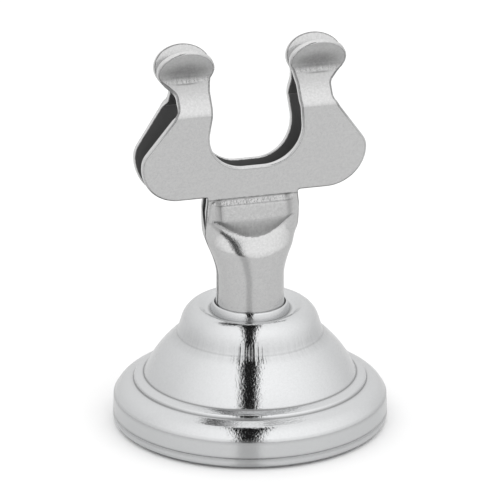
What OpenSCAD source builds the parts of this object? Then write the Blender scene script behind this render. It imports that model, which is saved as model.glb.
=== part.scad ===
// Place card holder: a weighted chrome bell base with a two-piece spring clip on a short stem.
// Millimetres, +Z up, the origin under the middle of the rubber foot, the card's face towards -Y.

/* [Base rim and skirt] */
// Diameter of the base over its rim
base_d = 38; // [36:0.5:60]
// Thickness of the base's drawn sheet
base_sheet = 0.6; // [0.4:0.05:0.8]
// Height of the rim's lower edge above the table
rim_lift = 0.2; // [0.1:0.05:0.4]
// Radius of the rim's lower edge
rim_round_r = 0.9; // [0.4:0.1:1.4]
// Width of the hem folded inside the rim
hem_w = 1.5; // [1.3:0.1:2.5]
// Height of the hem folded inside the rim
hem_h = 1.6; // [1:0.1:2.5]
// Height of the skirt's upper corner above the rim's lower edge
skirt_h = 3.85; // [3:0.05:6]
// How much narrower the skirt is at its upper corner, on each side
skirt_taper = 0.1; // [0:0.05:0.6]
// Radius of the skirt's upper corner
skirt_round_r = 0.35; // [0.1:0.05:1]

/* [Base shoulder and bell] */
// Width of the shoulder above the skirt
shoulder_w = 2.7; // [2:0.1:4]
// Rise of the shoulder above the skirt
shoulder_h = 2.15; // [1.5:0.05:4]
// Radius of the shoulder's bulge
shoulder_round_r = 3; // [1:0.1:4]
// Width of the groove's steep wall above the shoulder
groove_w = 0.25; // [0.1:0.05:0.5]
// Height of the groove's steep wall above the shoulder
groove_h = 0.55; // [0.3:0.05:1]
// Width of the ledge between the groove and the bell
ledge_w = 1.25; // [0.8:0.05:2]
// Rise of the ledge towards the bell
ledge_h = 0.3; // [0.1:0.05:0.6]
// Height of the bell from the ledge to the waist under the crown
bell_h = 5.95; // [5:0.1:9]
// Radius of the bell's bulge
bell_round_r = 16.2; // [8:0.2:20]
// Radius of the hollow at the bell's foot
bell_foot_round_r = 0.5; // [0.2:0.1:1]
// Radius of the ledge's edge and of the groove below it
ledge_round_r = 0.35; // [0.1:0.05:0.6]

/* [Base crown] */
// Width of the dish's flat floor outside the collar's foot
dish_floor_w = 0.65; // [0.4:0.05:1.2]
// Width of the dish's slope up to the crest
dish_slope_w = 1.35; // [0.8:0.05:2]
// Depth of the dish below the crest
dish_depth = 0.82; // [0.5:0.02:1.1]
// Width of the crown from its crest out to its shoulder corner
crown_w = 1.57; // [1:0.05:2.5]
// How much wider the waist under the crown is, on each side
crown_flare = 1; // [0.5:0.1:1.5]
// Height of the crown's shoulder corner above the waist
crown_h = 3.2; // [2.5:0.1:5]
// Radius of the crown's shoulder
crown_round_r = 3.4; // [1:0.1:4]
// Radius of the hollow at the waist under the crown
waist_round_r = 1.6; // [0.5:0.1:2.5]
// Rise of the crest above the crown's shoulder corner
crest_h = 0.9; // [0.5:0.05:1.5]
// Radius of the crest
crest_round_r = 0.8; // [0.3:0.1:1.5]

/* [Collar] */
// Gap between the stem and the collar around its foot
collar_gap = 0.2; // [0.1:0.05:0.3]
// Thickness of the collar's wall at its top
collar_wall = 0.3; // [0.2:0.05:0.5]
// How much wider the collar's foot is than its top, on each side
collar_flare = 0.4; // [0.1:0.05:0.6]
// Height of the collar above the dish's floor
collar_h = 1.1; // [0.7:0.05:1.8]

/* [Ballast and foot] */
// Gap between the ballast and the base's sheet around it
ballast_gap = 0.25; // [0.1:0.05:0.5]
// Thickness of the rubber foot
foot_t = 1.2; // [0.8:0.1:1.5]
// How much wider the hole through the rubber foot is than the hollow above it, on each side
foot_hole_margin = 1; // [0.2:0.1:3]
// Gap between the rubber foot and the hem around it
foot_gap = 0.2; // [0.1:0.05:0.4]

/* [Screw] */
// Diameter of the screw's thread as a share of the stem's bore
screw_share = 0.526; // [0.4:0.001:0.6]
// Clearance around the screw in every hole, on each side
screw_gap = 0.1; // [0.05:0.01:0.2]
// How much wider the screw's head is than its thread, on each side
head_ledge_w = 1.5; // [1:0.1:2]
// Height of the screw's head
head_h = 2.2; // [1.5:0.1:3]
// Width of the driver slot in the head
slot_w = 1; // [0.6:0.1:1.4]
// Depth of the driver slot in the head
slot_depth = 1; // [0.5:0.1:1.3]
// Depth of the hollow for the head in the ballast
head_hollow_depth = 4.4; // [3.6:0.1:5]
// Gap around the head in that hollow
head_gap = 0.5; // [0.2:0.1:0.8]
// Thickness of the spring washer
washer_t = 0.9; // [0.5:0.1:1.1]
// Width of the spring washer's split
washer_split = 0.8; // [0.4:0.1:1.2]

/* [Stem and neck] */
// Outer diameter of the stem
stem_d = 9.2; // [8.5:0.1:10]
// Thickness of the clip's sheet, in the stem and in the jaws
clip_sheet = 0.8; // [0.5:0.05:0.9]
// Gap at the seam between the two halves of the stem
seam_gap = 0.12; // [0.05:0.01:0.3]
// Height of the round stem above the dish's floor
stem_h = 5.5; // [4.5:0.1:9]
// Height of the neck from the round stem up to the crease
neck_h = 11.4; // [9:0.1:16]
// Width of the flattened neck at the crease
neck_w = 12.9; // [11:0.1:15]
// Gap between the two flattened halves at the crease
neck_gap = 1.25; // [0.8:0.05:2]
// Depth of the tapped plug's top below the upper end of the round stem
plug_drop = 0.8; // [0.4:0.1:1.5]
// Gap between the plug and the stem around it
plug_gap = 0.05; // [0.02:0.01:0.15]
// Depth of the screw's end below the plug's top
screw_end_depth = 0.5; // [0.2:0.1:1]

/* [Jaws] */
// Width of the jaws over their lobes
jaw_w = 31.7; // [28:0.1:36]
// Outward lean of each jaw's plate, in degrees
jaw_lean = 10.1; // [7:0.1:14]
// Length of the plate from the crease to its upper bend
plate_l = 12.9; // [11.5:0.1:18]
// Inward lean of the stretch above that bend, in degrees
ramp_lean = 34; // [28:0.5:42]
// Gap between the jaws where they pinch the card
pinch_gap = 0.2; // [0.1:0.05:0.6]
// Radius of the upper bend, at the middle of the sheet
bend_r = 0.9; // [0.6:0.05:1.2]
// Radius of the bend at the pinch, at the middle of the sheet
pinch_round_r = 1.7; // [1:0.05:2.2]
// Clearance around the rolled edge at the crease
crease_gap = 0.08; // [0.04:0.01:0.15]
// Height of the lobes' lower edge above the crease
lobe_lift = 0.33; // [0.2:0.01:0.8]
// Radius of the lobes' lower corners
lobe_round_r = 5.4; // [3:0.1:6]
// Height of the lobes' upper corner above the crease
lobe_h = 6.8; // [6:0.1:9]
// Radius of the lobes' upper corners
lobe_top_round_r = 3; // [1:0.1:4]
// Width of the slot between the two arms
gap_w = 13.1; // [11:0.1:14]
// Height of the slot's floor above the crease
gap_floor_h = 4.4; // [3.5:0.1:6]
// Radius of the slot's lower corners
gap_round_r = 5.4; // [2:0.1:6]
// Width of each arm at its waist
arm_w = 4.75; // [3:0.05:5.5]
// Radius of the arms' waist
arm_round_r = 1.5; // [0.5:0.1:2]
// How far each arm's inner edge stands in at the waist, towards the other arm
arm_lean = 0.42; // [0.1:0.02:0.8]
// Height above the crease at which the inner edges start to stand in
arm_lean_h = 9.82; // [8.5:0.02:11]
// Radius of the two soft bends in each inner edge
arm_lean_r = 3; // [1:0.1:6]

/* [Lips] */
// Outward flare of the lips, in degrees
lip_flare = 22; // [10:0.5:30]
// Radius of the oval lips across the sheet
lip_r = 3.98; // [3.2:0.02:4.5]
// Radius of the oval lips up the sheet
lip_up_r = 3.12; // [2.4:0.02:3.6]
// Distance from the pinch up the lip to the middle of its oval
lip_rise = 1.65; // [1.5:0.01:2.5]
// How far the middle of each lip lies outside the middle of its arm
lip_shift = 0.79; // [0:0.01:1]

/* [Hidden] */
$fn = 96;

// Share of the room between two rounded corners that their arcs may fill
fill_share = 0.98;
// Turn of the outline between two points of an arc, in degrees
arc_turn = 6;
// How far every cut runs past the piece that it cuts
overrun = 1;
// Places of the bell's bulge between the waist and the bell's foot, across and down
bell_shares = [0.655, 0.437];
// Place of the shoulder's bulge between the skirt's corner and the groove, across and up
shoulder_shares = [0.315, 0.628];
// Heights of the waist's two corners between the lower bend and the pinch
arm_shares = [0.16, 0.59];
// Angle below the level where the lips' round meets the arms
lip_end_angle = 28;
// Steps across and up the neck's sheet
neck_across_n = 22;
neck_up_n = 12;
// Stretches of the neck's height over which it widens, flattens, turns lens-shaped and opens at its seams
widen_share = 0.7;
flatten_shares = [0.29, 0.73];
lens_shares = [0.35, 0.58];
open_shares = [0.33, 0.88];
// Powers of the section's arch, a half round at the neck's foot and a shallow lens above
arch_powers = [1, 1.8];
// Depth of the rolled edge's seat below the crease, as a share of the roll's radius
seat_share = 0.8;

stem_r = stem_d / 2;
bore_r = stem_r - clip_sheet;
screw_r = bore_r * screw_share;
hole_r = screw_r + screw_gap;
head_r = screw_r + head_ledge_w;
collar_bore_r = stem_r + collar_gap;
collar_foot_r = collar_bore_r + collar_wall + collar_flare;
dish_r = collar_foot_r + dish_floor_w;
crest_r = dish_r + dish_slope_w;
crown_r = crest_r + crown_w;
waist_r = crown_r + crown_flare;
rim_r = base_d / 2;
skirt_r = rim_r - skirt_taper;
groove_r = skirt_r - shoulder_w;
ledge_r = groove_r - groove_w;
bell_foot_r = ledge_r - ledge_w;
hem_r = rim_r - hem_w;
hem_z = rim_lift + hem_h;
skirt_z = rim_lift + skirt_h;
groove_z = skirt_z + shoulder_h;
ledge_z = groove_z + groove_h;
bell_foot_z = ledge_z + ledge_h;
waist_z = bell_foot_z + bell_h;
crown_z = waist_z + crown_h;
crest_z = crown_z + crest_h;
seat_z = crest_z - dish_depth;
bell_r = waist_r + (bell_foot_r - waist_r) * bell_shares[0];
bell_z = waist_z + (bell_foot_z - waist_z) * bell_shares[1];
shoulder_r = skirt_r - shoulder_w * shoulder_shares[0];
shoulder_z = skirt_z + shoulder_h * shoulder_shares[1];

// The base's outer outline, from the hole in the dish out and down to the hem, with its radii
base_corners = [[hole_r, seat_z], [dish_r, seat_z], [crest_r, crest_z], [crown_r, crown_z],
                [waist_r, waist_z], [bell_r, bell_z], [bell_foot_r, bell_foot_z], [ledge_r, ledge_z],
                [groove_r, groove_z], [shoulder_r, shoulder_z], [skirt_r, skirt_z], [rim_r, hem_z]];
base_radii = [0, crest_round_r, crest_round_r, crown_round_r, waist_round_r, bell_round_r,
              bell_foot_round_r, ledge_round_r, ledge_round_r, shoulder_round_r, skirt_round_r, 0];

foot_r = hem_r - foot_gap;
ballast_r = hem_r - ballast_gap;
boss_z = seat_z - base_sheet;
hollow_r = head_r + head_gap;
hollow_z = foot_t + head_hollow_depth;
head_z = hollow_z - washer_t;

plug_z = seat_z + clip_sheet;
neck_z = seat_z + stem_h;
plug_top_z = neck_z - plug_drop;
plug_h = plug_top_z - plug_z;
crease_z = neck_z + neck_h;
roll_r = clip_sheet / 2;
crease_y = neck_gap / 2 + roll_r;
neck_top_z = crease_z - roll_r * seat_share;

// The sheet's middle line, from the crease over the upper bend and the pinch to past the lip's end
bend_y = -crease_y - plate_l * sin(jaw_lean);
bend_z = crease_z + plate_l * cos(jaw_lean);
pinch_turn = ramp_lean + lip_flare;
pinch_y = pinch_round_r * (1 / cos(pinch_turn / 2) - 1) - pinch_gap / 2 - roll_r;
pinch_z = bend_z + (pinch_y - bend_y) / tan(ramp_lean);
lip_l = lip_rise + lip_up_r + overrun;
sheet_line = [[-crease_y, crease_z], [bend_y, bend_z], [pinch_y, pinch_z],
              [pinch_y - lip_l * sin(lip_flare), pinch_z + lip_l * cos(lip_flare)]];
sheet_radii = [0, bend_r, pinch_round_r, 0];
lip_z = pinch_z + lip_rise * cos(lip_flare);
lip_half_h = lip_up_r * cos(lip_flare);
arm_z = [for (share = arm_shares) bend_z + (pinch_z - bend_z) * share];
arm_in_x = gap_w / 2 - arm_lean;
arm_out_x = arm_in_x + arm_w;
lip_x = arm_in_x + arm_w / 2 + lip_shift;

// Outline tools
function unit(v) = v / norm(v);
function right_of(v) = [v.y, -v.x];
function turn(a, b, c) =
    let (u = unit(b - a), v = unit(c - b))
    atan2(u.x * v.y - u.y * v.x, u * v);
function reach(a, b, c, r) = r * tan(abs(turn(a, b, c)) / 2);

// One rounded corner as the points of its arc
function corner(a, b, c, r) =
    let (
        u = unit(b - a),
        bend = turn(a, b, c),
        side = -sign(bend) * r,
        start = b - u * reach(a, b, c, r),
        centre = start + right_of(u) * side,
        from = atan2(start.y - centre.y, start.x - centre.x),
        steps = max(2, ceil(abs(bend) / arc_turn))
    )
    [for (i = [0 : steps]) centre + r * [cos(from + bend * i / steps), sin(from + bend * i / steps)]];

// An open outline with its corners rounded, each arc limited by the room beside it
function rounded(p, r) =
    let (
        last = len(p) - 1,
        inner = function (i) i > 0 && i < last && r[i] > 0,
        room = [for (i = [0 : last]) inner(i) ? reach(p[i - 1], p[i], p[i + 1], r[i]) : 0],
        fits = function (i, k) fill_share * norm(p[i] - p[k]) / (room[i] + room[k]),
        ease = [for (i = [0 : last]) inner(i) ? min(1, fits(i, i - 1), fits(i, i + 1)) : 0]
    )
    [for (i = [0 : last]) each inner(i) ? corner(p[i - 1], p[i], p[i + 1], r[i] * ease[i]) : [p[i]]];

// The same outline moved to its right by d, and the radii that keep its arcs centred
function moved(p, d) =
    let (
        last = len(p) - 1,
        way = [for (i = [0 : last - 1]) right_of(unit(p[i + 1] - p[i]))],
        step = function (a, b) (a + b) / (1 + a * b)
    )
    [for (i = [0 : last]) p[i] + d * step(way[max(0, i - 1)], way[min(last - 1, i)])];
function moved_radii(p, r, d) =
    [for (i = [0 : len(p) - 1])
        r[i] == 0 ? 0 : max(0, r[i] + sign(turn(p[i - 1], p[i], p[i + 1])) * d)];
function rounded_inside(p, r, d) = rounded(moved(p, d), moved_radii(p, r, d));
function reversed(p) = [for (i = [len(p) - 1 : -1 : 0]) p[i]];
function flipped(p) = [for (q = reversed(p)) if (q.x > 0) [-q.x, q.y]];
function smooth(x, span) =
    let (t = min(1, max(0, (x - span[0]) / (span[1] - span[0]))))
    t * t * (3 - 2 * t);

// Drawn steel base with a hem folded inside its rim
module base_shell() {
    rim = [[rim_r, rim_lift], [hem_r, rim_lift]];
    outer = rounded(concat(base_corners, rim), concat(base_radii, [rim_round_r, 0]));
    inner = rounded_inside(base_corners, base_radii, base_sheet);
    color("silver")
        rotate_extrude()
            polygon(concat(outer, [[hem_r, hem_z]], reversed(inner)));
}

// Ring around the stem's foot, standing in the dish
module collar_ring() {
    top_z = seat_z + collar_h;
    outline = [[collar_bore_r, seat_z], [collar_bore_r, top_z], [collar_bore_r + collar_wall, top_z],
               [collar_foot_r, seat_z]];
    color("gainsboro")
        rotate_extrude()
            polygon(rounded(outline, [0, 0, collar_wall, 0]));
}

// Cast slug that weights the base, with a boss under the stem that meets the crown
module ballast() {
    top_z = boss_z - ballast_gap;
    top_share = (crown_z - top_z) / crown_h;
    around = [[crown_r + crown_flare * top_share, top_z], [waist_r, waist_z], [bell_r, bell_z],
              [bell_foot_r, bell_foot_z], [skirt_r, skirt_z], [rim_r, hem_z]];
    radii = [0, waist_round_r, bell_round_r, bell_foot_round_r, skirt_round_r, 0];
    boss = [[hole_r, boss_z], [stem_r, boss_z], [stem_r, top_z]];
    under = [[rim_r, foot_t], [hollow_r, foot_t], [hollow_r, hollow_z], [hole_r, hollow_z]];
    color("dimgray")
        rotate_extrude()
            intersection() {
                polygon(concat(boss, rounded_inside(around, radii, base_sheet + ballast_gap), under));
                translate([0, foot_t])
                    square([ballast_r, boss_z - foot_t]);
            }
}

// Non-slip ring under the ballast
module rubber_foot() {
    foot_hole_r = hollow_r + foot_hole_margin;
    color("black")
        rotate_extrude()
            translate([foot_hole_r, 0])
                square([foot_r - foot_hole_r, foot_t]);
}

// Screw that clamps the stem to the base from below
module clamp_screw() {
    color("gray")
        difference() {
            union() {
                translate([0, 0, head_z - head_h])
                    cylinder(h = head_h, r = head_r);
                translate([0, 0, head_z - overrun])
                    cylinder(h = plug_top_z - screw_end_depth - head_z + overrun, r = screw_r);
            }
            translate([-head_r - overrun, -slot_w / 2, head_z - head_h - overrun])
                cube([2 * (head_r + overrun), slot_w, slot_depth + overrun]);
        }
}

// Split washer between the screw's head and the ballast
module spring_washer() {
    color("lightgray")
        translate([0, 0, head_z])
            difference() {
                cylinder(h = washer_t, r = head_r);
                translate([0, 0, -overrun])
                    cylinder(h = washer_t + 2 * overrun, r = hole_r);
                translate([0, -washer_split / 2, -overrun])
                    cube([head_r + overrun, washer_split, washer_t + 2 * overrun]);
            }
}

// Tapped plug that pulls the stem's turned-in feet down on the crown
module stem_plug() {
    color("darkgray")
        translate([0, 0, plug_z])
            difference() {
                cylinder(h = plug_h, r = bore_r - plug_gap);
                translate([0, 0, -overrun])
                    cylinder(h = plug_h + 2 * overrun, r = hole_r);
            }
}

// One point of the neck's section, at a share of the way across and of the way up
function neck_point(across, up, inside) =
    let (
        widen = sin(90 * min(1, up / widen_share)),
        flat = smooth(up, flatten_shares),
        open = smooth(up, open_shares),
        power = arch_powers[0] + (arch_powers[1] - arch_powers[0]) * smooth(up, lens_shares),
        wall = inside ? clip_sheet : 0,
        half_w = stem_r + (neck_w / 2 - stem_r) * widen - wall * (1 - open),
        depth = stem_r + (neck_gap / 2 + clip_sheet - stem_r) * flat - wall,
        edge = seam_gap / 2 + (depth - seam_gap / 2) * open,
        angle = asin(seam_gap / 2 / stem_r) * (1 - open),
        a = angle + (180 - 2 * angle) * across,
        x = -cos(a),
        y = pow(max(0, sin(a)), power)
    )
    [half_w * x, -edge - (depth - edge) * y, neck_z + (neck_top_z - neck_z) * up];

// Sheet of the neck, round below and flat above
module neck_sheet() {
    n = neck_across_n;
    row = 2 * (n + 1);
    across = [for (j = [0 : n]) j / n];
    points = [for (i = [0 : neck_up_n]) each concat(
        [for (s = across) neck_point(s, i / neck_up_n, false)],
        [for (s = reversed(across)) neck_point(s, i / neck_up_n, true)])];
    sides = [for (i = [0 : neck_up_n - 1], j = [0 : row - 1])
        let (a = i * row + j, b = i * row + (j + 1) % row)
        each [[a, a + row, b], [b, a + row, b + row]]];
    top = neck_up_n * row;
    caps = [for (j = [0 : n - 1])
        let (a = j, b = j + 1, c = row - 2 - j, d = row - 1 - j)
        each [[a, b, c], [a, c, d], [top + a, top + c, top + b], [top + a, top + d, top + c]]];
    polyhedron(points = points, faces = concat(sides, caps));
}

// Round foot of a stem half, with a turned-in lip under the plug
module stem_foot() {
    wall = [[hole_r, seat_z], [stem_r, seat_z], [stem_r, neck_z], [bore_r, neck_z],
            [bore_r, plug_z], [hole_r, plug_z]];
    intersection() {
        rotate_extrude()
            polygon(wall);
        translate([-stem_d / 2 - overrun, -stem_d / 2 - overrun, seat_z - overrun])
            cube([stem_d + 2 * overrun, stem_d / 2 + overrun - seam_gap / 2, stem_h + 2 * overrun]);
    }
}

module stem_half() {
    color("silver")
        union() {
            stem_foot();
            difference() {
                neck_sheet();
                crease_roll(roll_r + crease_gap, neck_w + 2 * overrun);
            }
        }
}

// Round bar along the crease
module crease_roll(r, length) {
    translate([-length / 2, -crease_y, crease_z])
        rotate([0, 90, 0])
            cylinder(h = length, r = r);
}

// Right half of the jaw's outline seen from the front, from the slot's floor round to the crease
function jaw_outline() =
    let (
        lip = function (a) [lip_x + lip_r * cos(a), lip_z + lip_half_h * sin(a)],
        from = 180 + lip_end_angle,
        sweep = 180 + 2 * lip_end_angle,
        steps = ceil(sweep / arc_turn),
        floor_z = crease_z + gap_floor_h,
        edge_z = crease_z + lobe_lift,
        slot = [[0, floor_z], [gap_w / 2, floor_z], [gap_w / 2, crease_z + arm_lean_h],
                [arm_in_x, arm_z[0]], [arm_in_x, arm_z[1]], lip(from)],
        lobe = [lip(from - sweep), [arm_out_x, arm_z[1]], [arm_out_x, arm_z[0]],
                [jaw_w / 2, crease_z + lobe_h], [jaw_w / 2, edge_z], [neck_w / 2, edge_z],
                [neck_w / 2, crease_z - overrun], [0, crease_z - overrun]],
        slot_radii = [0, gap_round_r, arm_lean_r, arm_lean_r, arm_round_r, 0],
        lobe_radii = [0, arm_round_r, arm_round_r, lobe_top_round_r, lobe_round_r, 0, 0, 0]
    )
    concat(rounded(slot, slot_radii),
           [for (i = [1 : steps - 1]) lip(from - sweep * i / steps)],
           rounded(lobe, lobe_radii));

module jaw() {
    half = jaw_outline();
    back = rounded_inside(sheet_line, sheet_radii, roll_r);
    front = rounded_inside(sheet_line, sheet_radii, -roll_r);
    reach_y = plate_l + lip_l;
    color("lightgray")
        union() {
            intersection() {
                translate([-jaw_w / 2 - overrun, 0, 0])
                    rotate([90, 0, 90])
                        linear_extrude(jaw_w + 2 * overrun)
                            polygon(concat(back, reversed(front)));
                rotate([90, 0, 0])
                    linear_extrude(reach_y)
                        polygon(concat(half, flipped(half)));
            }
            crease_roll(roll_r, neck_w);
        }
}

module front_stem_half() { stem_half(); }
module rear_stem_half() { mirror([0, 1, 0]) stem_half(); }
module front_jaw() { jaw(); }
module rear_jaw() { mirror([0, 1, 0]) jaw(); }

base_shell();
collar_ring();
ballast();
rubber_foot();
clamp_screw();
spring_washer();
stem_plug();
front_stem_half();
rear_stem_half();
front_jaw();
rear_jaw();
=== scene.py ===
"""Looks of a place card holder: a chromed bell base with a plated two-leaf spring clip on a short stem.

Lengths are in millimetres until put_mesh() turns them into metres. +Z is up and the front jaw faces -Y.
A jaw's sheet also has flat coordinates of its own: x across it, and w along it, upwards from the crease.
"""
import math

import bmesh
import bpy
import numpy as np
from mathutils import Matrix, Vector


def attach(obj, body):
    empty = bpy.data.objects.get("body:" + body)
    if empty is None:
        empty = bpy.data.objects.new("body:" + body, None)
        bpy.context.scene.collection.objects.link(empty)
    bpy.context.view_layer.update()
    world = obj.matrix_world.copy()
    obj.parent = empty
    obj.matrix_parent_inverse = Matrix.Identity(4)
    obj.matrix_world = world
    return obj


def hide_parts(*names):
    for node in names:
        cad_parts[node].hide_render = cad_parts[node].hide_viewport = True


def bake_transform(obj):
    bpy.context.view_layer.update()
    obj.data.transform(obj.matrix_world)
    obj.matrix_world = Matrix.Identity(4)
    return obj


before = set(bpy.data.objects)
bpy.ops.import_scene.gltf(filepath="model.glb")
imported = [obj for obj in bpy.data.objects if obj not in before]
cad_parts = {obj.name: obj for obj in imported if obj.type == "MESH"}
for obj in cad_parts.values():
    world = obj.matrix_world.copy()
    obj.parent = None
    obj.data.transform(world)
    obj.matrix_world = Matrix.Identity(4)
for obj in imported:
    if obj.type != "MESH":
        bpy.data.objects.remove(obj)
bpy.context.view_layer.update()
scene = bpy.context.scene
scene.view_settings.view_transform = "Standard"

MM = 0.001
TINY = 1e-6
ARC_SHARE = 0.98

# Camera, as the photograph was taken
CAMERA_AZIMUTH = math.radians(-16.8)
CAMERA_PITCH = math.radians(20.2)
CAMERA_DISTANCE = 600.0
CAMERA_AIM_Z = 24.78
CAMERA_LENS = 315.26
SENSOR_W = 36.0
CLIP_START, CLIP_END = 10.0, 20000.0

# Base: corners (radius, height) from the screw hole out and down to the hem, with the radius of each corner
BASE_CORNERS = [(2.1, 16.28), (6.15, 16.28), (7.5, 17.1), (9.07, 16.2), (10.07, 13.0), (13.1, 10.4),
                (14.7, 7.05), (15.95, 6.75), (16.2, 6.2), (18.05, 5.4), (18.9, 4.05), (19.0, 1.8)]
BASE_RADII = [0, 0.8, 0.8, 3.4, 1.6, 16.2, 0.5, 0.35, 0.35, 3.0, 0.35, 0]
BASE_SHEET = 0.6
BASE_STEP = 0.5
RIM_CORNERS = [(18.9, 1.72), (19.0, 1.64), (19.0, 0.2), (17.5, 0.2)]
RIM_RADII = [0, 0, 0.9, 0]
HEM_TOP = (17.5, 1.8)
TURN_STEPS = 288

# Painted shade along the base's hollow corners (radius, height, strength), and the base's streaked waist
NOOK_SHADES = [(14.75, 7.1, 0.6), (16.15, 6.3, 0.6), (19.0, 1.72, 0.4), (5.6, 16.3, 0.5), (10.1, 13.05, 0.15),
         (18.88, 4.05, 0.25)]
NOOK_SHADE_W = 0.15
WAIST_RISE_Z = (11.9, 12.8)
WAIST_FALL_Z = (13.8, 15.2)
WAIST_LEAST_R = 9.0

# Collar ring around the stem's foot
COLLAR_CORNERS = [(4.8, 16.28), (4.8, 17.0), (4.95, 17.38), (5.15, 17.38), (5.5, 16.28)]
COLLAR_RADII = [0, 0.1, 0.05, 0.3, 0]

# Clip sheet: its thickness, its rounded cut edges, and its folds (y, z) seen from the side
SHEET = 0.8
EDGE_R = 0.17
EDGE_STEPS = 6
CREASE = (-1.025, 33.18)
BEND = (-3.287, 45.88)
PINCH = (-0.2746, 50.346)
BEND_R = 0.9
PINCH_R = 1.7
LIP_FLARE = math.radians(22)
LIP_LENGTH = 7.5
FOLD_STEP_DEG = 2.0
SHEET_STEP = 0.1

# Outline of a jaw, seen from the front
JAW_W = 31.7
SLOT_W = 13.1
SLOT_FLOOR_Z = 37.58
SLOT_R = 5.4
ARM_OUT_X = 10.88
ARM_IN_X = 6.13
ARM_LEAN_Z = 43.0
ARM_LEAN_R = 3.0
ARM_Z = (46.595, 48.515)
ARM_R = 1.5
LOBE_TOP_Z = 39.98
LOBE_TOP_R = 3.0
LOBE_EDGE_Z = 33.51
LOBE_R = 5.4
TAB_W = 12.9
TAB_CORNER_R = 0.3
LIP_X = 9.295
LIP_Z = 51.876
LIP_R = 3.98
LIP_H = 3.12
LIP_DROP = 0.13
LIP_END = math.radians(28)
LIP_STEPS = 60

# Grid of a jaw: rows fan out up to FAN_Z and are closer at the folds, and columns are closer at the rim
FAN_Z = 43.0
FAN_ROWS, LOBE_ROWS, BEND_ROWS, RAMP_ROWS, PINCH_ROWS, LIP_ROWS = 90, 14, 16, 16, 20, 40
BEND_BAND = 0.6
PINCH_BAND = 0.95
ROW_GAP = 0.1
RAMP_GAP = 0.15
RIM_COLUMNS = np.array([0, 0.04, 0.1, 0.16])
RIM_SHARES = np.array([0, 0.04, 0.05, 0.06])
FACE_SHARES = np.linspace(0.07, 0.93, 17)
LEAST_GAP = 0.4
ACROSS = -np.cos(np.linspace(0, np.pi, 97))
MIDDLE = len(ACROSS) // 2

# Stem and neck: heights between which the tube widens, opens, bulges and is pressed flat
STEM_R = 4.6
STEM_FOOT_Z = 16.28
STEM_LIP_Z = 17.08
STEM_LIP_STEP = 0.01
STEM_HOLE_R = 2.1
SEAM = 0.12
FOOT_FLARE = 0.13
FLARE_Z = 17.3
FLARE_FADE = 0.7
STEM_TOP_Z, NECK_LOW_Z = 21.5, 21.7
STEM_ROWS, NECK_ROWS = 16, 104
WIDEN_Z = (21.3, 28.8)
OPEN_Z = (25.5, 31.5)
BULGE = 0.18
BULGE_RISE_Z = (24.0, 28.0)
BULGE_FALL_Z = (31.0, 33.0)
FRONT_Z = (25.0, 29.9)
FRONT_RISE = 0.045
FRONT_DEPTH = 1.42
SQUARE = 1.2
SQUARE_Z = (28.0, 31.0)
LENS = 0.65
LENS_RISE_Z = (25.6, 28.2)
LENS_FALL_Z = (29.5, 32.0)
NECK_SOFT = 0.25
NECK_SOFT_Z = (20.0, 22.0)
SOFT_STEPS = np.linspace(-2, 2, 9)

# Pressed pad on the neck: its depth at these heights, its hollow lower line, and where its ends fade
PAD = [(27.0, 29.9, 32.3, 33.0, 33.18), (2.5, 2.5, 2.1, 1.45, 1.42)]
PAD_Z = 29.9
PAD_TOP_Z = 32.3
PAD_X = (4.6, 6.3)
PAD_LIFT = 0.4
VALLEY_Z = 27.7
VALLEY_RISE = 0.08

# Wear, painted shade and a painted highlight on the clip: strength of each dull, scuffed, shaded or lit place, from 0
# to 1, and its reach in mm
TUMBLE = 0.26
# Painted shade on the lips, darkest in the middle
LIP_SHADE, LIP_SHADE_FADE = 0.23, (1.6, 0.9)
LIP_MIDDLE_SHADE, MIDDLE_SHADE_W, MIDDLE_SHADE_H = 0.38, 3.2, 1.5
RAMP_DULL, RAMP_FADE = 0.24, (0.8, 0.4)
PINCH_LINE, PINCH_LINE_DROP, PINCH_LINE_W, PINCH_LINE_HALF = 0.4, 0.75, 0.12, 1.5
PINCH_SCUFF_RISE, PINCH_SCUFF_HALF = 0.1, 0.75
# Painted shade inside the jaw up to the pinch, and a painted highlight line along its inner bend
MOUTH_SHADE_FADE = (-0.6, 0.2)
GLINT, GLINT_W = 0.7, 0.15
# Painted shade: dark lines along the cut edges' corners and along the rim
LOBE_LINE, ARM_LINE, LIP_LINE, LIP_BACK_LINE = 0.3, 0.7, 0.35, 0.8
ARM_LINE_RISE = 4.0
LIP_LINE_FADE = (-0.3, 0.8)
RIM_LINE_FADE = (0.04, 0.16)
CORNER_LINE_W, CORNER_INSET = 0.09, 0.05
# Painted shade on cut edges facing down, on the pad's underside and ends, and dark lines along its top and the crease
UNDERSIDE_SHADE = (0.2, 0.9)
PAD_UNDER_SHADE = 0.57
PAD_END_SHADE, PAD_END_IN, PAD_END_W, PAD_END_FADE = 0.35, 0.3, 0.45, (-0.6, 0.2)
PAD_LINE, PAD_LINE_W = 0.4, 0.07
CREASE_LINE, CREASE_LINE_DROP, CREASE_LINE_W = 0.65, 0.15, 0.12
PAD_SCUFF, PAD_TOP_SCUFF, PAD_TOP_FADE = 0.35, 0.45, (-0.2, 0.1)

# Plated skin: dullest roughness, and the pattern sizes that all plating shares
DULLEST_ROUGH = 0.69
CLOUD_MM = 4.0
STREAK_MM = 0.35
STREAK_STRETCH = 0.12
STREAK_TONE = 0.2
PIT_SPAN = (0.35, 0.65)
PLATE_SPREAD, CAST_SPREAD = 0.2, 0.15

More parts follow.
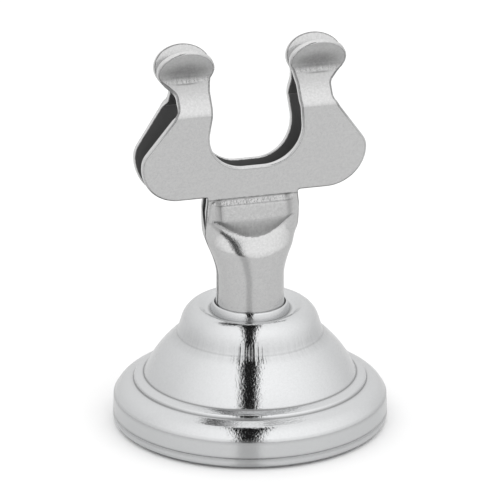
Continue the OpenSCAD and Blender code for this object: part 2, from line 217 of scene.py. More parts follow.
# Studio: floor, black card and sky
FLOOR_R = 3000.0
FLOOR_STEPS = 64
FLOOR_SEEN = "#FFFFFF"
FLOOR_MATT = "#DCDCDC"
FLOOR_SHEEN, FLOOR_ROUGH = 0.25, 0.15
CARD_BLACK = "#0A0A0A"
CARD_R = 450.0
CARD_W = 132.0
CARD_AZIMUTH = CAMERA_AZIMUTH + math.radians(-1.2)
CARD_FROM_DEG, CARD_TO_DEG = 0.2, 98
CARD_ROWS, CARD_COLUMNS = 40, 5
SKY_LEVELS, SKY_TOP = (1.06, 1.4), 0.9
FRONT_LEVELS, FRONT_FADE = (0.75, 0.98), (0.4, -0.7)
SKY_SEEN = 1.0

# Mesh joining, in metres
MERGE_M = 2e-6
SLIVER_M = 1e-7
SHARP_ANGLE = math.radians(50)


def unit(v):
    """Vectors divided by their lengths."""
    return v / np.linalg.norm(v, axis=-1, keepdims=True)


def smooth(x, low, high):
    """Smooth step: 3t^2 - 2t^3 of the share t of the way from low to high."""
    t = np.clip((x - low) / (high - low), 0, 1)
    return t * t * (3 - 2 * t)


def hump(x, middle, width, power=2):
    """Rounded hump: exp(-(d / width)^power) of the distance d from its middle."""
    return np.exp(-(np.abs(x - middle) / width) ** power)


def lengths(line):
    """Length of the line from its start to each of its points: the running sum of its stretches."""
    return np.append(0, np.cumsum(np.linalg.norm(np.diff(line, axis=0), axis=1)))


def rounded_line(corners, radii, step=3.0):
    """Open line through the corners, each cut by an arc of its radius that starts r tan(turn/2) before the corner,
    with a point about every step degrees. Neighbouring arcs share a stretch that is too short for both."""
    p, r = np.array(corners, float), np.array(radii, float)
    u = unit(np.diff(p, axis=0))
    turn = np.zeros(len(p))
    turn[1:-1] = np.arctan2(u[:-1, 0] * u[1:, 1] - u[:-1, 1] * u[1:, 0], (u[:-1] * u[1:]).sum(1))
    room = r * np.tan(np.abs(turn) / 2)
    fits = ARC_SHARE * np.linalg.norm(np.diff(p, axis=0), axis=1) / np.maximum(room[:-1] + room[1:], TINY)
    ease = np.minimum(1, np.minimum(np.append(fits, 1), np.append(1, fits)))
    parts = []
    for i, corner in enumerate(p):
        if room[i] < TINY:
            parts.append(corner[None])
            continue
        to_centre = np.array([-u[i - 1, 1], u[i - 1, 0]]) * np.sign(turn[i]) * r[i] * ease[i]
        start = corner - u[i - 1] * room[i] * ease[i]
        angles = np.linspace(0, turn[i], max(3, int(abs(math.degrees(turn[i])) / step) + 2))
        c, s = np.cos(angles)[:, None], np.sin(angles)[:, None]
        spoke = -to_centre
        parts.append(start + to_centre + c * spoke + s * np.array([-spoke[1], spoke[0]]))
    return np.concatenate(parts)


def moved(corners, d):
    """The line's corners moved to its right by d, each along the mitre of its two stretches."""
    p = np.array(corners, float)
    u = unit(np.diff(p, axis=0))
    way = np.stack([u[:, 1], -u[:, 0]], 1)
    a, b = np.concatenate([way[:1], way]), np.concatenate([way, way[-1:]])
    return p + d * (a + b) / (1 + (a * b).sum(1, keepdims=True))


def spread(line, gap):
    """The line with points added so that none are further apart than gap."""
    length = lengths(line)
    extra = np.arange(0, length[-1], gap)
    at = np.unique(np.round(np.concatenate([length, extra]), 4))
    return np.stack([np.interp(at, length, line[:, k]) for k in range(2)], 1)


def along(line, shares):
    """Points at these shares of a line's length, and the length."""
    length = lengths(line)
    return np.stack([np.interp(shares * length[-1], length, line[:, k]) for k in range(2)], 1), length[-1]


def below(line, w):
    """The part of a rising line up to the height w, ending where it meets it."""
    top = np.array([np.interp(w, line[:, 1], line[:, 0]), w])
    return np.concatenate([line[line[:, 1] < w - TINY], top[None]])


def put_mesh(name, patches, material):
    """Mesh of patches, each a grid of points (a x b x 3, in mm) with its values of painted shade and dullness,
    and of scuff.
    Each face joins four neighbours in a grid, and patches are joined where their points meet."""
    points, values, faces, start = [], [], [], 0
    for grid, *marks in patches:
        a, b = grid.shape[:2]
        index = start + np.arange(a * b).reshape(a, b)
        corners = [index[:-1, :-1], index[:-1, 1:], index[1:, 1:], index[1:, :-1]]
        faces.append(np.stack(corners, -1).reshape(-1, 4))
        points.append(grid.reshape(-1, 3))
        values.append(np.stack([np.broadcast_to(mark, (a, b)).ravel() for mark in marks]))
        start += a * b
    mesh = bpy.data.meshes.new(name)
    mesh.from_pydata((np.concatenate(points) * MM).tolist(), [], np.concatenate(faces).tolist())
    for key, value in zip(("shade_and_dullness", "scuff"), np.concatenate(values, axis=1).astype(np.float32)):
        mesh.attributes.new(key, "FLOAT", "POINT").data.foreach_set("value", value)
    work = bmesh.new()
    work.from_mesh(mesh)
    bmesh.ops.remove_doubles(work, verts=work.verts, dist=MERGE_M)
    bmesh.ops.dissolve_degenerate(work, edges=work.edges, dist=SLIVER_M)
    bmesh.ops.recalc_face_normals(work, faces=work.faces)
    work.to_mesh(mesh)
    work.free()
    mesh.polygons.foreach_set("use_smooth", np.ones(len(mesh.polygons), bool))
    mesh.set_sharp_from_angle(angle=SHARP_ANGLE)
    mesh.materials.append(material)
    piece = bpy.data.objects.new(name, mesh)
    scene.collection.objects.link(piece)
    return piece


def turned(outline):
    """A closed outline (radius, height) carried once round the Z axis: radius times cosine and sine of the turn."""
    loop = np.concatenate([outline, outline[:1]])
    a = np.linspace(0, 2 * np.pi, TURN_STEPS + 1)[:, None]
    return np.stack([loop[:, 0] * np.cos(a), loop[:, 0] * np.sin(a), loop[:, 1] + 0 * a], -1)


def base_outline():
    """The bell's rounded outer line, its hem, and its inner line one sheet further in."""
    outer = rounded_line(BASE_CORNERS + RIM_CORNERS, BASE_RADII + RIM_RADII)
    corners = moved(BASE_CORNERS, BASE_SHEET)
    inner = rounded_line(corners, np.maximum(np.array(BASE_RADII) - BASE_SHEET, 0))
    return np.concatenate([spread(outer, BASE_STEP), [HEM_TOP], inner[::-1]])


def turned_marks(grid):
    """Painted shade and scuff of a turned piece: a hump of painted shade along each hollow corner,
    and the streaked waist.
    """
    r, z = np.hypot(grid[..., 0], grid[..., 1]), grid[..., 2]
    nook_shade = sum(strength * hump(np.hypot(r - at_r, z - at_z), 0, NOOK_SHADE_W) for at_r, at_z, strength in NOOK_SHADES)
    waist = smooth(z, *WAIST_RISE_Z) * (1 - smooth(z, *WAIST_FALL_Z)) * (r > WAIST_LEAST_R)
    return np.minimum(nook_shade, 1), waist


# Middle line of a jaw's sheet, from the crease over the bend and the pinch to past the lip's end
lip_end = (PINCH[0] - LIP_LENGTH * math.sin(LIP_FLARE), PINCH[1] + LIP_LENGTH * math.cos(LIP_FLARE))
sheet_line = rounded_line([CREASE, BEND, PINCH, lip_end], [0, BEND_R, PINCH_R, 0], FOLD_STEP_DEG)
sheet_line = spread(sheet_line, SHEET_STEP)
sheet_w = lengths(sheet_line)
sheet_way = unit(np.gradient(sheet_line, sheet_w, axis=0))
sheet_out = np.stack([-sheet_way[:, 1], sheet_way[:, 0]], 1)


def on_sheet(x, w, off):
    """Points at x across and w up the jaw's sheet, set off from its middle along the sheet's outer side."""
    y, z, ny, nz = (np.interp(w, sheet_w, v) for v in (*sheet_line.T, *sheet_out.T))
    return np.stack([x + 0 * w, y + off * ny, z + off * nz], -1)


def up_sheet(z):
    """How far up the sheet its middle line reaches the height z."""
    return np.interp(z, sheet_line[:, 1], sheet_w)


fan_w, bend_w, pinch_w = up_sheet(FAN_Z), up_sheet(BEND[1]), up_sheet(PINCH[1])
lip_w = up_sheet(LIP_Z) - LIP_DROP


def flat(line):
    """A line (x, z) of the jaw's front view laid on the sheet, as (x, w)."""
    return np.stack([line[:, 0], up_sheet(line[:, 1])], 1)


def lip_arc(angles):
    """Points (x, w) of a lip's oval edge: its half axes times the cosine and the sine of the angles."""
    return np.stack([LIP_X + LIP_R * np.cos(angles), lip_w + LIP_H * np.sin(angles)], 1)


def edge_profile():
    """Section of a cut edge: how far it stands out, and its place through the sheet, with both corners rounded."""
    a = np.linspace(0, np.pi / 2, EDGE_STEPS)
    out, through = EDGE_R * np.sin(a), SHEET / 2 - EDGE_R + EDGE_R * np.cos(a)
    return np.concatenate([out, out[::-1]]), np.concatenate([through, -through[::-1]])


def jaw_lines():
    """Slot edge and outer edge of the right half of a jaw, as rounded lines (x, w) that meet on top of the lip."""
    lip_low = lip_arc(np.array([np.pi + LIP_END, -LIP_END]))
    arm_top_w = up_sheet(ARM_Z[1])
    slot = flat(rounded_line([(0, SLOT_FLOOR_Z), (SLOT_W / 2, SLOT_FLOOR_Z), (SLOT_W / 2, ARM_LEAN_Z),
                              (ARM_IN_X, ARM_Z[0])], [0, SLOT_R, ARM_LEAN_R, 0]))
    slot_arm = rounded_line([slot[-2], slot[-1], (ARM_IN_X, arm_top_w), lip_low[0]], [0, ARM_LEAN_R, ARM_R, 0])
    slot_lip = lip_arc(np.linspace(np.pi + LIP_END, np.pi / 2, LIP_STEPS))
    lobe = flat(rounded_line([(TAB_W / 2, CREASE[1]), (TAB_W / 2, LOBE_EDGE_Z), (JAW_W / 2, LOBE_EDGE_Z),
                              (JAW_W / 2, LOBE_TOP_Z), (ARM_OUT_X, ARM_Z[0])],
                             [0, TAB_CORNER_R, LOBE_R, LOBE_TOP_R, 0]))
    lobe_arm = rounded_line([lobe[-2], lobe[-1], (ARM_OUT_X, arm_top_w), lip_low[1]], [0, ARM_R, ARM_R, 0])
    lobe_lip = lip_arc(np.linspace(-LIP_END, np.pi / 2, LIP_STEPS))
    return (np.concatenate([slot[:-1], slot_arm[1:-1], slot_lip]),
            np.concatenate([lobe[:-1], lobe_arm[1:-1], lobe_lip]))


def jaw_edges(crease_x):
    """Slot edge and outer edge of the right half of a jaw as matched points (x, w).
    They fan out from the middle line over the lobe, and lie level across the arm and the lip."""
    slot, lobe = jaw_lines()
    steps = np.linspace(0, 1, FAN_ROWS)
    lobe_low, total = along(below(lobe, fan_w), steps)
    shares = np.concatenate([crease_x, TAB_W / 2 + steps[1:] * total]) / (TAB_W / 2 + total)
    shares[0] = 0
    slot_low, _ = along(below(slot, fan_w), shares)

    bend_from, bend_to = bend_w - BEND_BAND, bend_w + BEND_BAND
    pinch_from, pinch_to = pinch_w - PINCH_BAND, pinch_w + PINCH_BAND
    lip_from = np.arcsin((pinch_to + ROW_GAP - lip_w) / LIP_H)
    rows = np.concatenate([np.linspace(fan_w, bend_from - ROW_GAP, LOBE_ROWS)[1:],
                           np.linspace(bend_from, bend_to, BEND_ROWS),
                           np.linspace(bend_to + RAMP_GAP, pinch_from - ROW_GAP, RAMP_ROWS),
                           np.linspace(pinch_from, pinch_to, PINCH_ROWS),
                           lip_w + LIP_H * np.sin(np.linspace(lip_from, np.pi / 2, LIP_ROWS))])
    slot_high, lobe_high = (np.stack([np.interp(rows, line[:, 1], line[:, 0]), rows], 1) for line in (slot, lobe))
    slot_high[-1, 0] = lobe_high[-1, 0] = LIP_X
    return np.concatenate([slot_low, slot_high]), np.concatenate([lobe_low, lobe_high])


def ways_out(line, sign, first, last):
    """Outward way across a line in its own plane, to its left for sign 1 and to its right for -1."""
    t = unit(np.gradient(line, axis=0))
    n = sign * np.stack([-t[:, 1], t[:, 0]], 1)
    n[0], n[-1] = first, last
    return n


def jaw_patches(crease_x, front_row, back_row):
    """Right half of a jaw: both faces, ruled between the slot edge and the outer edge, and the rounded cut edges.
    Its lowest points are the rows given for the crease, so that it joins the neck."""
    slot, lobe = jaw_edges(crease_x)
    slot_way = ways_out(slot, 1, (0, 1), (0, 1))
    lobe_way = ways_out(lobe, -1, (1, 0), (0, 1))
    slot_in, lobe_in = slot - EDGE_R * slot_way, lobe - EDGE_R * lobe_way
    crease = np.stack([crease_x[:-1], 0 * crease_x[:-1]], 1)
    outer_in = np.concatenate([crease, lobe_in])

    gap = np.maximum(np.linalg.norm(outer_in - slot_in, axis=1, keepdims=True), LEAST_GAP)
    near = np.minimum(RIM_COLUMNS / gap, RIM_SHARES)
    t = np.concatenate([near, FACE_SHARES + 0 * gap, 1 - near[:, ::-1]], 1)
    x, w = (slot_in[:, k, None] + (outer_in - slot_in)[:, k, None] * t for k in range(2))
    outside, inside = on_sheet(x, w, SHEET / 2), on_sheet(x, w, -SHEET / 2)
    n = len(crease_x)
    outside[:n, -1], inside[:n, -1] = front_row, back_row

    out, through = edge_profile()
    rim = np.concatenate([lobe_in, slot_in[-2::-1]])
    way = np.concatenate([lobe_way, slot_way[-2::-1]])
    strip = on_sheet(rim[:, :1] + way[:, :1] * out, rim[:, 1:] + way[:, 1:] * out, through)

    to_rim = t * gap
    to_rim[n - 1:] = np.minimum(to_rim, gap - to_rim)[n - 1:]
    shade_and_dullness, scuff, mouth_shade = jaw_marks(x, w, to_rim)
    outer_line, inner_line = edge_lines(rim[:, 1:])
    # Painted shade: dark lines along the strip's corners, and the strip darker where it faces down
    lines = outer_line * corner_line(through) + inner_line * corner_line(-through, 0.0)
    under_shade = smooth(-way[:, 1:], *UNDERSIDE_SHADE)
    return [(outside, tumbled(shade_and_dullness), scuff), (inside, tumbled(mouth_shade), 0.0), (strip, np.maximum(lines, under_shade), 0.0)]


def jaw_marks(x, w, to_rim):
    """Values of painted shade and dullness, and of scuff, for a jaw's outer face, and painted shade for its inner
    face, at x across and w up the sheet. Outside, the lips have painted shade, darkest in the middle, the ramps grow
    duller towards the pinch, the pinch is scuffed with a thin darker line below it, and the rim has a painted dark
    line.
    Inside, the jaw has painted shade up to the pinch, broken by a painted highlight line along the bend."""
    middle_shade = hump(np.hypot((x - LIP_X) / MIDDLE_SHADE_W, (w - lip_w) / MIDDLE_SHADE_H), 0, 1, 3)
    lip = smooth(w, lip_w - LIP_SHADE_FADE[0], lip_w - LIP_SHADE_FADE[1]) * (LIP_SHADE + LIP_MIDDLE_SHADE * middle_shade)
    ramp_to, ramp_end = pinch_w - RAMP_FADE[0], pinch_w - RAMP_FADE[1]
    ramp = RAMP_DULL * smooth(w, bend_w + RAMP_FADE[0], ramp_to) * (1 - smooth(w, ramp_to, ramp_end))
    line = PINCH_LINE * hump(w, pinch_w - PINCH_LINE_DROP, PINCH_LINE_W) * hump(x, LIP_X, PINCH_LINE_HALF, 4)
    rim = edge_lines(w)[0] * (1 - smooth(to_rim, *RIM_LINE_FADE))
    scuff = hump(w, pinch_w + PINCH_SCUFF_RISE, PINCH_SCUFF_HALF, 4)
    mouth_shade = 1 - smooth(w, pinch_w + MOUTH_SHADE_FADE[0], pinch_w + MOUTH_SHADE_FADE[1])
    return np.minimum(lip + ramp + line + rim, 1), scuff, mouth_shade * (1 - GLINT * hump(w, bend_w, GLINT_W))


def edge_lines(w):
    """Strengths of the painted dark lines, painted shade, on the outer and the inner corner of a cut edge at w up the
    sheet.
    They step smoothly from the lobes to the arms and from there to the lips."""
    arm = smooth(w, bend_w - ARM_LINE_RISE, bend_w)
    lip = smooth(w, pinch_w + LIP_LINE_FADE[0], pinch_w + LIP_LINE_FADE[1])
    outer = LOBE_LINE + (ARM_LINE - LOBE_LINE) * arm + (LIP_LINE - ARM_LINE) * lip
    return outer, LOBE_LINE + (LIP_BACK_LINE - LOBE_LINE) * lip


def corner_line(through, inset=CORNER_INSET):
    """Painted shade: a dark line on a corner of a cut edge, a hump at the inset from the sheet's face."""
    return hump(through, SHEET / 2 - inset, CORNER_LINE_W)


def tumbled(shade_and_dullness):
    """Value of painted shade and dullness of a tumbled face, which is duller than the cut edges by the share TUMBLE.
    """
    return TUMBLE + (1 - TUMBLE) * shade_and_dullness


def foot_flare(z):
    """How far the stem's foot stands out, fading upwards as exp(-height / FLARE_FADE)."""
    return FOOT_FLARE * np.exp(-np.maximum(z - FLARE_Z, 0) / FLARE_FADE)


def neck_half_width(z, wall):
    """Half the neck's width: the stem's radius, grown by smooth steps to the tab's, less the wall or the edge."""
    opened = smooth(z, *OPEN_Z)
    widen = (TAB_W / 2 - STEM_R) * smooth(z, *WIDEN_Z)
    bulge = BULGE * smooth(z, *BULGE_RISE_Z) * (1 - smooth(z, *BULGE_FALL_Z))
    return STEM_R + foot_flare(z) + widen + bulge - wall * (1 - opened) - EDGE_R * opened


def neck_shell(xi, x, z, wall):
    """Depth of the tube's face: edge + (front - edge) (1 - |xi|^p)^q, where the front falls back as the tube is
    pressed flat, p grows from 2 as it turns square, and q rises above 1/2 where the pressing leaves a lens."""
    p = 2 + SQUARE * smooth(z, *SQUARE_Z)
    q = 0.5 + LENS * (smooth(z, *LENS_RISE_Z) - smooth(z, *LENS_FALL_Z))
    seam = SEAM / 2 + EDGE_R
    edge = seam + (FRONT_DEPTH - wall - seam) * smooth(z, *OPEN_Z)
    pressed = (FRONT_DEPTH - STEM_R) * smooth(z - FRONT_RISE * x * x, *FRONT_Z)
    front = STEM_R + pressed + foot_flare(z) - wall
    return edge + (front - edge) * (1 - np.abs(xi) ** p) ** q


def pad_shares(x, z):
    """Height of the pad's lower line, and how far up its underside and how far from its ends a point is."""
    foot_z = np.minimum(VALLEY_Z + VALLEY_RISE * x * x, PAD_Z)
    rise = np.clip((z - foot_z) / (PAD_Z - foot_z + PAD_LIFT), 0, 1)
    return foot_z, rise, 1 - smooth(np.abs(x), *PAD_X)


def neck_form(xi, z, wall):
    """A round tube that widens while its front is flattened, and above that a pad whose underside is a quarter
    of a sine wave."""
    x = neck_half_width(z, wall) * xi
    foot_z, rise, ends = pad_shares(x, z)
    shell, foot = (neck_shell(xi, x, h, wall) for h in (z, foot_z))
    pad = foot + (np.interp(z, *PAD) - wall - foot) * np.sin(np.pi / 2 * rise)
    return x, shell + np.where(z > foot_z, ends * (pad - shell), 0)


def neck_section(xi, z, wall):
    """Face of the stem half, drawn soft: neck_form averaged up and down with bell-shaped weights."""
    weights = hump(SOFT_STEPS, 0, 1)
    reach = NECK_SOFT * smooth(z, *NECK_SOFT_Z)
    depth = sum(weight * neck_form(xi, z + step * reach, wall)[1] for step, weight in zip(SOFT_STEPS, weights))
    return neck_half_width(z, wall) * xi, -depth / weights.sum()


def neck_marks(x, z):
    """Values of painted shade and dullness, and of scuff, for the neck: painted shade on the pad's underside and
    ends, thin painted dark lines along its top and along the crease, and the die's upright streaks on the pad."""
    foot_z, rise, ends = pad_shares(x, z)
    on_pad = np.where(z > foot_z, ends, 0)
    under_shade = PAD_UNDER_SHADE * on_pad * (1 - rise ** 2)
    end_shade = PAD_END_SHADE * hump(np.abs(x), PAD_X[0] + PAD_END_IN, PAD_END_W)
    end_shade = end_shade * smooth(z, PAD_Z + PAD_END_FADE[0], PAD_Z + PAD_END_FADE[1])
    pad_line = PAD_LINE * ends * hump(z, PAD_TOP_Z, PAD_LINE_W)
    crease_line = CREASE_LINE * hump(z, CREASE[1] - CREASE_LINE_DROP, CREASE_LINE_W)
    top = smooth(z, PAD_TOP_Z + PAD_TOP_FADE[0], PAD_TOP_Z + PAD_TOP_FADE[1])
    shade_and_dullness = np.minimum(under_shade + end_shade + pad_line + crease_line, 1)
    return tumbled(shade_and_dullness), on_pad * (PAD_SCUFF + PAD_TOP_SCUFF * top)


def neck_patches(crease_front, crease_back):
    """Stem half from its foot to the crease, as closed rows: outer face, cut edge, inner face, cut edge.
    The inner face is drawn in to the screw's hole at the foot."""
    z = np.concatenate([[STEM_FOOT_Z, STEM_LIP_Z, STEM_LIP_Z + STEM_LIP_STEP],
                        np.linspace(FLARE_Z, STEM_TOP_Z, STEM_ROWS), np.linspace(NECK_LOW_Z, CREASE[1], NECK_ROWS)])
    xi, rows = ACROSS[None], z[:, None]
    x, y = neck_section(xi, rows, 0.0)
    outside = np.stack([x, y, rows + 0 * x], -1)
    x, y = neck_section(xi, rows, SHEET)
    hole = np.where(rows < STEM_LIP_Z + STEM_LIP_STEP / 2, STEM_HOLE_R / (STEM_R - SHEET), 1.0)
    inside = np.stack([x * hole, np.minimum(y * hole, -SEAM / 2), rows + 0 * x], -1)
    outside[-1], inside[-1] = crease_front, crease_back

    out, through = edge_profile()
    # Painted shade: dark lines along the cut edges' corners, and the full dark colour on the inner face and the foot
    line = corner_line(np.abs(through))
    patches = [(outside, *neck_marks(outside[..., 0], rows)), (inside, 1.0, 0.0)]
    for end, beside in ((0, 1), (-1, -2)):
        way = unit((outside[:, end] - outside[:, beside]) * [1, 1, 0])
        way[-1] = (np.sign(outside[-1, end, 0]), 0, 0)
        middle, half = (outside[:, end] + inside[:, end]) / 2, (outside[:, end] - inside[:, end]) / 2
        depth = (through / (SHEET / 2))[None, :, None]
        strip = middle[:, None] + half[:, None] * depth + way[:, None] * out[None, :, None]
        patches.append((strip, line, 0.0))
    foot = np.stack([outside[0], inside[0]])
    return patches + [(foot, 1.0, 0.0)]


def clip_half(name, mirror, material):
    """One stamping of the clip: stem half, neck and jaw in a single sheet, bent at the crease.
    The jaw's left half mirrors its right one, and mirror -1 turns the whole stamping to the rear."""
    x = ACROSS * (TAB_W / 2 - EDGE_R)
    front, back = on_sheet(x, 0 * x, SHEET / 2), on_sheet(x, 0 * x, -SHEET / 2)
    jaw = jaw_patches(x[MIDDLE:], front[MIDDLE:], back[MIDDLE:])
    left = [(grid * [-1, 1, 1], *marks) for grid, *marks in jaw]
    patches = jaw + left + neck_patches(front, back)
    return put_mesh(name, [(grid * [1, mirror, 1], *marks) for grid, *marks in patches], material)


def linear(code):
    """Linear colour of an sRGB hex value."""
    c = np.array([int(code[i:i + 2], 16) for i in (1, 3, 5)]) / 255
    return (*np.where(c <= 0.04045, c / 12.92, ((c + 0.055) / 1.055) ** 2.4), 1.0)


def node(tree, kind, inputs=None, **settings):
    """Adds a node, sets its properties, and gives each named or numbered input a value or a link.
    A Mix node's inputs are numbered: 0 is its factor, 2 and 3 its numbers, 6 and 7 its colours."""
    made = tree.nodes.new(kind)
    for key, value in settings.items():
        setattr(made, key, value)
    for key, value in (inputs or {}).items():
        if isinstance(value, bpy.types.NodeSocket):
            tree.links.new(value, made.inputs[key])
        else:
            made.inputs[key].default_value = value
    return made


def new_material(name):
    """An empty node material, and its tree."""
    material = bpy.data.materials.new(name)
    material.use_nodes = True
    material.node_tree.nodes.clear()
    return material, material.node_tree


def per_mm(size):
    """Scale of a texture on metres whose features are about this many millimetres apart."""
    return 1 / (size * MM)


def plating(name, colour, dull_and_shade_colour, rough, grain_mm, grain_height, pit_tone, streak_height, turned_r=None):
    """Plated steel: a metal mirror with the fine pebbled skin that plating leaves.
    The value of painted shade and dullness darkens and dulls it towards a second colour, and the scuff value cuts
    upright streaks into it, which run down the slope of a turned piece of radius turned_r."""
    material, tree = new_material(name)
    place = node(tree, "ShaderNodeTexCoord").outputs["Object"]
    shade_and_dullness = node(tree, "ShaderNodeAttribute", attribute_name="shade_and_dullness").outputs["Fac"]
    scuff = node(tree, "ShaderNodeAttribute", attribute_name="scuff").outputs["Fac"]

    # Pebbled grain, and streaks where the skin is scuffed; both are drawn coarser than real, so that they show
    grain = node(tree, "ShaderNodeTexNoise", {"Vector": place, "Scale": per_mm(grain_mm), "Detail": 2.0,
                                              "Roughness": 0.6}).outputs["Fac"]
    if turned_r:
        level = node(tree, "ShaderNodeVectorMath", {0: place, 1: (1.0, 1.0, 0.0)}, operation="MULTIPLY")
        upright = node(tree, "ShaderNodeVectorMath", {0: level.outputs[0]}, operation="NORMALIZE")
        streak_scale = turned_r / STREAK_MM
    else:
        upright = node(tree, "ShaderNodeMapping", {"Vector": place, "Scale": (1.0, 1.0, STREAK_STRETCH)})
        streak_scale = per_mm(STREAK_MM)
    streak = node(tree, "ShaderNodeTexNoise", {"Vector": upright.outputs[0], "Scale": streak_scale, "Detail": 3.0})
    cut = node(tree, "ShaderNodeMath", {0: streak.outputs["Fac"], 1: scuff}, operation="MULTIPLY").outputs[0]
    height = node(tree, "ShaderNodeMath", {0: cut, 1: streak_height / grain_height, 2: grain},
                  operation="MULTIPLY_ADD")
    bump = node(tree, "ShaderNodeBump", {"Height": height.outputs[0], "Strength": 1.0, "Distance": grain_height * MM})

    # Tone: pits of the grain, painted shade and dullness, and streaks add up to how far the colour goes towards the
    # darker one
    pits = node(tree, "ShaderNodeMapRange", {"Value": grain, "From Min": PIT_SPAN[0], "From Max": PIT_SPAN[1],
                                             "To Min": 0.0, "To Max": pit_tone})
    pitted = node(tree, "ShaderNodeMath", {0: pits.outputs[0], 1: shade_and_dullness}, operation="ADD")
    dulled = node(tree, "ShaderNodeMath", {0: cut, 1: STREAK_TONE, 2: pitted.outputs[0]}, operation="MULTIPLY_ADD")
    tint = node(tree, "ShaderNodeMix", {0: dulled.outputs[0], 6: linear(colour), 7: linear(dull_and_shade_colour)},
                data_type="RGBA")

    # Gloss: cloudy over a few millimetres, and rougher where painted shade and dullness lie
    cloud = node(tree, "ShaderNodeTexNoise", {"Vector": place, "Scale": per_mm(CLOUD_MM), "Detail": 3.0})
    gloss = node(tree, "ShaderNodeMapRange", {"Value": cloud.outputs["Fac"], "To Min": rough * (1 - PLATE_SPREAD),
                                              "To Max": rough * (1 + PLATE_SPREAD)})
    rub = node(tree, "ShaderNodeMix", {0: shade_and_dullness, 2: gloss.outputs["Result"], 3: DULLEST_ROUGH},
               data_type="FLOAT")
    skin = node(tree, "ShaderNodeBsdfPrincipled", {"Base Color": tint.outputs[2], "Metallic": 1.0,
                                                   "Roughness": rub.outputs[0], "Normal": bump.outputs["Normal"]})
    node(tree, "ShaderNodeOutputMaterial", {"Surface": skin.outputs["BSDF"]})
    return material


def grained(name, colour, rough, metallic, grain_mm, grain_height):
    """A plain material with a cast, moulded or dipped grain: noise that lifts the skin and varies its roughness."""
    material, tree = new_material(name)
    place = node(tree, "ShaderNodeTexCoord").outputs["Object"]
    grain = node(tree, "ShaderNodeTexNoise", {"Vector": place, "Scale": per_mm(grain_mm), "Detail": 4.0})
    bump = node(tree, "ShaderNodeBump", {"Height": grain.outputs["Fac"], "Strength": 1.0,
                                         "Distance": grain_height * MM})
    tone = node(tree, "ShaderNodeMapRange", {"Value": grain.outputs["Fac"], "To Min": rough * (1 - CAST_SPREAD),
                                             "To Max": min(1.0, rough * (1 + CAST_SPREAD))})
    skin = node(tree, "ShaderNodeBsdfPrincipled", {"Base Color": linear(colour), "Metallic": metallic,
                                                   "Roughness": tone.outputs["Result"],
                                                   "Normal": bump.outputs["Normal"]})
    node(tree, "ShaderNodeOutputMaterial", {"Surface": skin.outputs["BSDF"]})
    return material


# Chrome plate on polished drawn steel: a bright mirror, very slightly pebbled, so that what it mirrors has soft
# edges;
# its dark second colour is painted shade in the hollow corners
polished_chrome = plating("chrome_plate_polished", "#D6D7D8", "#4A4A4A", rough=0.10, grain_mm=0.3,
                          grain_height=0.018, pit_tone=0.04, streak_height=0.05, turned_r=10.0)
# The same plate on a tumbled stamping: an even satin grey on the flats, brighter on folds and cut edges, with scuffs.
# Its grey second colour is also painted shade: on the lips, inside the jaws, on the pad's underside and along dark
# lines
tumbled_chrome = plating("chrome_plate_tumbled", "#E2E2E2", "#767676", rough=0.03, grain_mm=0.3,
                         grain_height=0.012, pit_tone=0.10, streak_height=0.2)
# Moulded rubber: matt and nearly black, with a fine dry grain
rubber = grained("black_rubber_moulded", "#1B1B1C", 0.75, 0.0, 0.4, 0.03)
# Cast iron, blacked: dark and rough, with the sand's grain
iron = grained("cast_iron_blacked", "#3A3836", 0.65, 0.0, 0.8, 0.08)
# Zinc plate on steel: a soft pale grey shine
zinc = grained("zinc_plated_steel", "#B9BBBA", 0.35, 1.0, 0.3, 0.01)

# Pieces of the base
bell = turned(base_outline())
base = put_mesh("bell_base", [(bell, *turned_marks(bell))], polished_chrome)
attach(base, "base")
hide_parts("base_shell")

collar_grid = turned(rounded_line(COLLAR_CORNERS, COLLAR_RADII))
collar = put_mesh("stem_collar", [(collar_grid, *turned_marks(collar_grid))], polished_chrome)
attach(collar, "base")
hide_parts("collar_ring")

# Clip halves, each a single sheet bent at its crease
for side, mirror in (("front", 1), ("rear", -1)):
    half = clip_half(f"{side}_clip_half", mirror, tumbled_chrome)
    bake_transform(half)
    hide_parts(f"{side}_jaw", f"{side}_stem_half")

# Hidden pieces, which keep their CAD shapes
for name, material in (("ballast", iron), ("rubber_foot", rubber), ("clamp_screw", zinc), ("spring_washer", zinc),
                       ("stem_plug", zinc)):
    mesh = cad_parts[name].data
    mesh.materials.clear()
    mesh.materials.append(material)

# Camera
back = Vector((math.sin(CAMERA_AZIMUTH) * math.cos(CAMERA_PITCH),
               -math.cos(CAMERA_AZIMUTH) * math.cos(CAMERA_PITCH), math.sin(CAMERA_PITCH)))
camera = bpy.data.objects.new("camera", bpy.data.cameras.new("camera"))
camera.data.sensor_width = SENSOR_W
camera.data.lens = CAMERA_LENS
camera.data.clip_start, camera.data.clip_end = CLIP_START * MM, CLIP_END * MM
camera.location = Vector((0, 0, CAMERA_AIM_Z * MM)) + back * CAMERA_DISTANCE * MM
camera.rotation_mode = "QUATERNION"
camera.rotation_quaternion = (-back).to_track_quat("-Z", "Y")
scene.collection.objects.link(camera)
scene.camera = camera

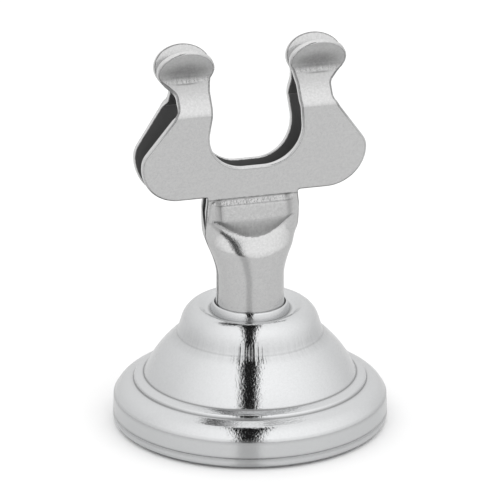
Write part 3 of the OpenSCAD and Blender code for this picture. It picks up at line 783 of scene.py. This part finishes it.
# Floor: white to the camera; in the metal's mirrors a pale grey with a sheen, which keeps the plating's contrast
floor_material, tree = new_material("studio_floor")
light_path = node(tree, "ShaderNodeLightPath")
seen = node(tree, "ShaderNodeBsdfDiffuse", {"Color": linear(FLOOR_SEEN)})
matt = node(tree, "ShaderNodeBsdfDiffuse", {"Color": linear(FLOOR_MATT)})
sheen = node(tree, "ShaderNodeBsdfGlossy", {"Color": linear(FLOOR_SEEN), "Roughness": FLOOR_ROUGH})
bounced = node(tree, "ShaderNodeMixShader", {0: FLOOR_SHEEN, 1: matt.outputs[0], 2: sheen.outputs[0]})
pick = node(tree, "ShaderNodeMixShader", {0: light_path.outputs["Is Camera Ray"], 1: bounced.outputs[0],
                                          2: seen.outputs[0]})
node(tree, "ShaderNodeOutputMaterial", {"Surface": pick.outputs[0]})
a = np.linspace(0, 2 * np.pi, FLOOR_STEPS + 1)
disc = np.stack([np.stack([r * np.cos(a), r * np.sin(a), 0 * a], -1) for r in (0.0, FLOOR_R)])
floor = put_mesh("studio_floor", [(disc, 0.0, 0.0)], floor_material)

# Black card, bowed from the floor to overhead in front of the camera; only the metal shows it, as a dark streak
card_material, tree = new_material("black_card")
matt = node(tree, "ShaderNodeBsdfDiffuse", {"Color": linear(CARD_BLACK)})
node(tree, "ShaderNodeOutputMaterial", {"Surface": matt.outputs[0]})
elevation = np.radians(np.linspace(CARD_FROM_DEG, CARD_TO_DEG, CARD_ROWS))[:, None, None]
across = np.linspace(-CARD_W / 2, CARD_W / 2, CARD_COLUMNS)[None, :, None]
ahead = np.array([math.sin(CARD_AZIMUTH), -math.cos(CARD_AZIMUTH), 0])
aside = np.array([math.cos(CARD_AZIMUTH), math.sin(CARD_AZIMUTH), 0])
bow = CARD_R * (np.cos(elevation) * ahead + np.sin(elevation) * [0, 0, 1]) + across * aside
card = put_mesh("black_card", [(bow, 0.0, 0.0)], card_material)
card.visible_camera = card.visible_diffuse = card.visible_shadow = card.visible_transmission = False

# Sky: brighter overhead and towards the front, and plain white to the camera
world = bpy.data.worlds.new("studio")
scene.world = world
world.use_nodes = True
tree = world.node_tree
tree.nodes.clear()
light_path = node(tree, "ShaderNodeLightPath")
way = node(tree, "ShaderNodeSeparateXYZ", {0: node(tree, "ShaderNodeTexCoord").outputs["Generated"]})
rise = node(tree, "ShaderNodeMapRange", {"Value": way.outputs["Z"], "From Min": 0.0, "From Max": SKY_TOP,
                                         "To Min": SKY_LEVELS[0], "To Max": SKY_LEVELS[1]})
front = node(tree, "ShaderNodeMapRange", {"Value": way.outputs["Y"], "From Min": FRONT_FADE[0],
                                          "From Max": FRONT_FADE[1], "To Min": FRONT_LEVELS[0],
                                          "To Max": FRONT_LEVELS[1]})
level = node(tree, "ShaderNodeMath", {0: rise.outputs[0], 1: front.outputs[0]}, operation="MULTIPLY")
shown = node(tree, "ShaderNodeMix", {0: light_path.outputs["Is Camera Ray"], 2: level.outputs[0], 3: SKY_SEEN},
             data_type="FLOAT")
sky = node(tree, "ShaderNodeBackground", {"Color": (1, 1, 1, 1), "Strength": shown.outputs[0]})
node(tree, "ShaderNodeOutputWorld", {"Surface": sky.outputs[0]})
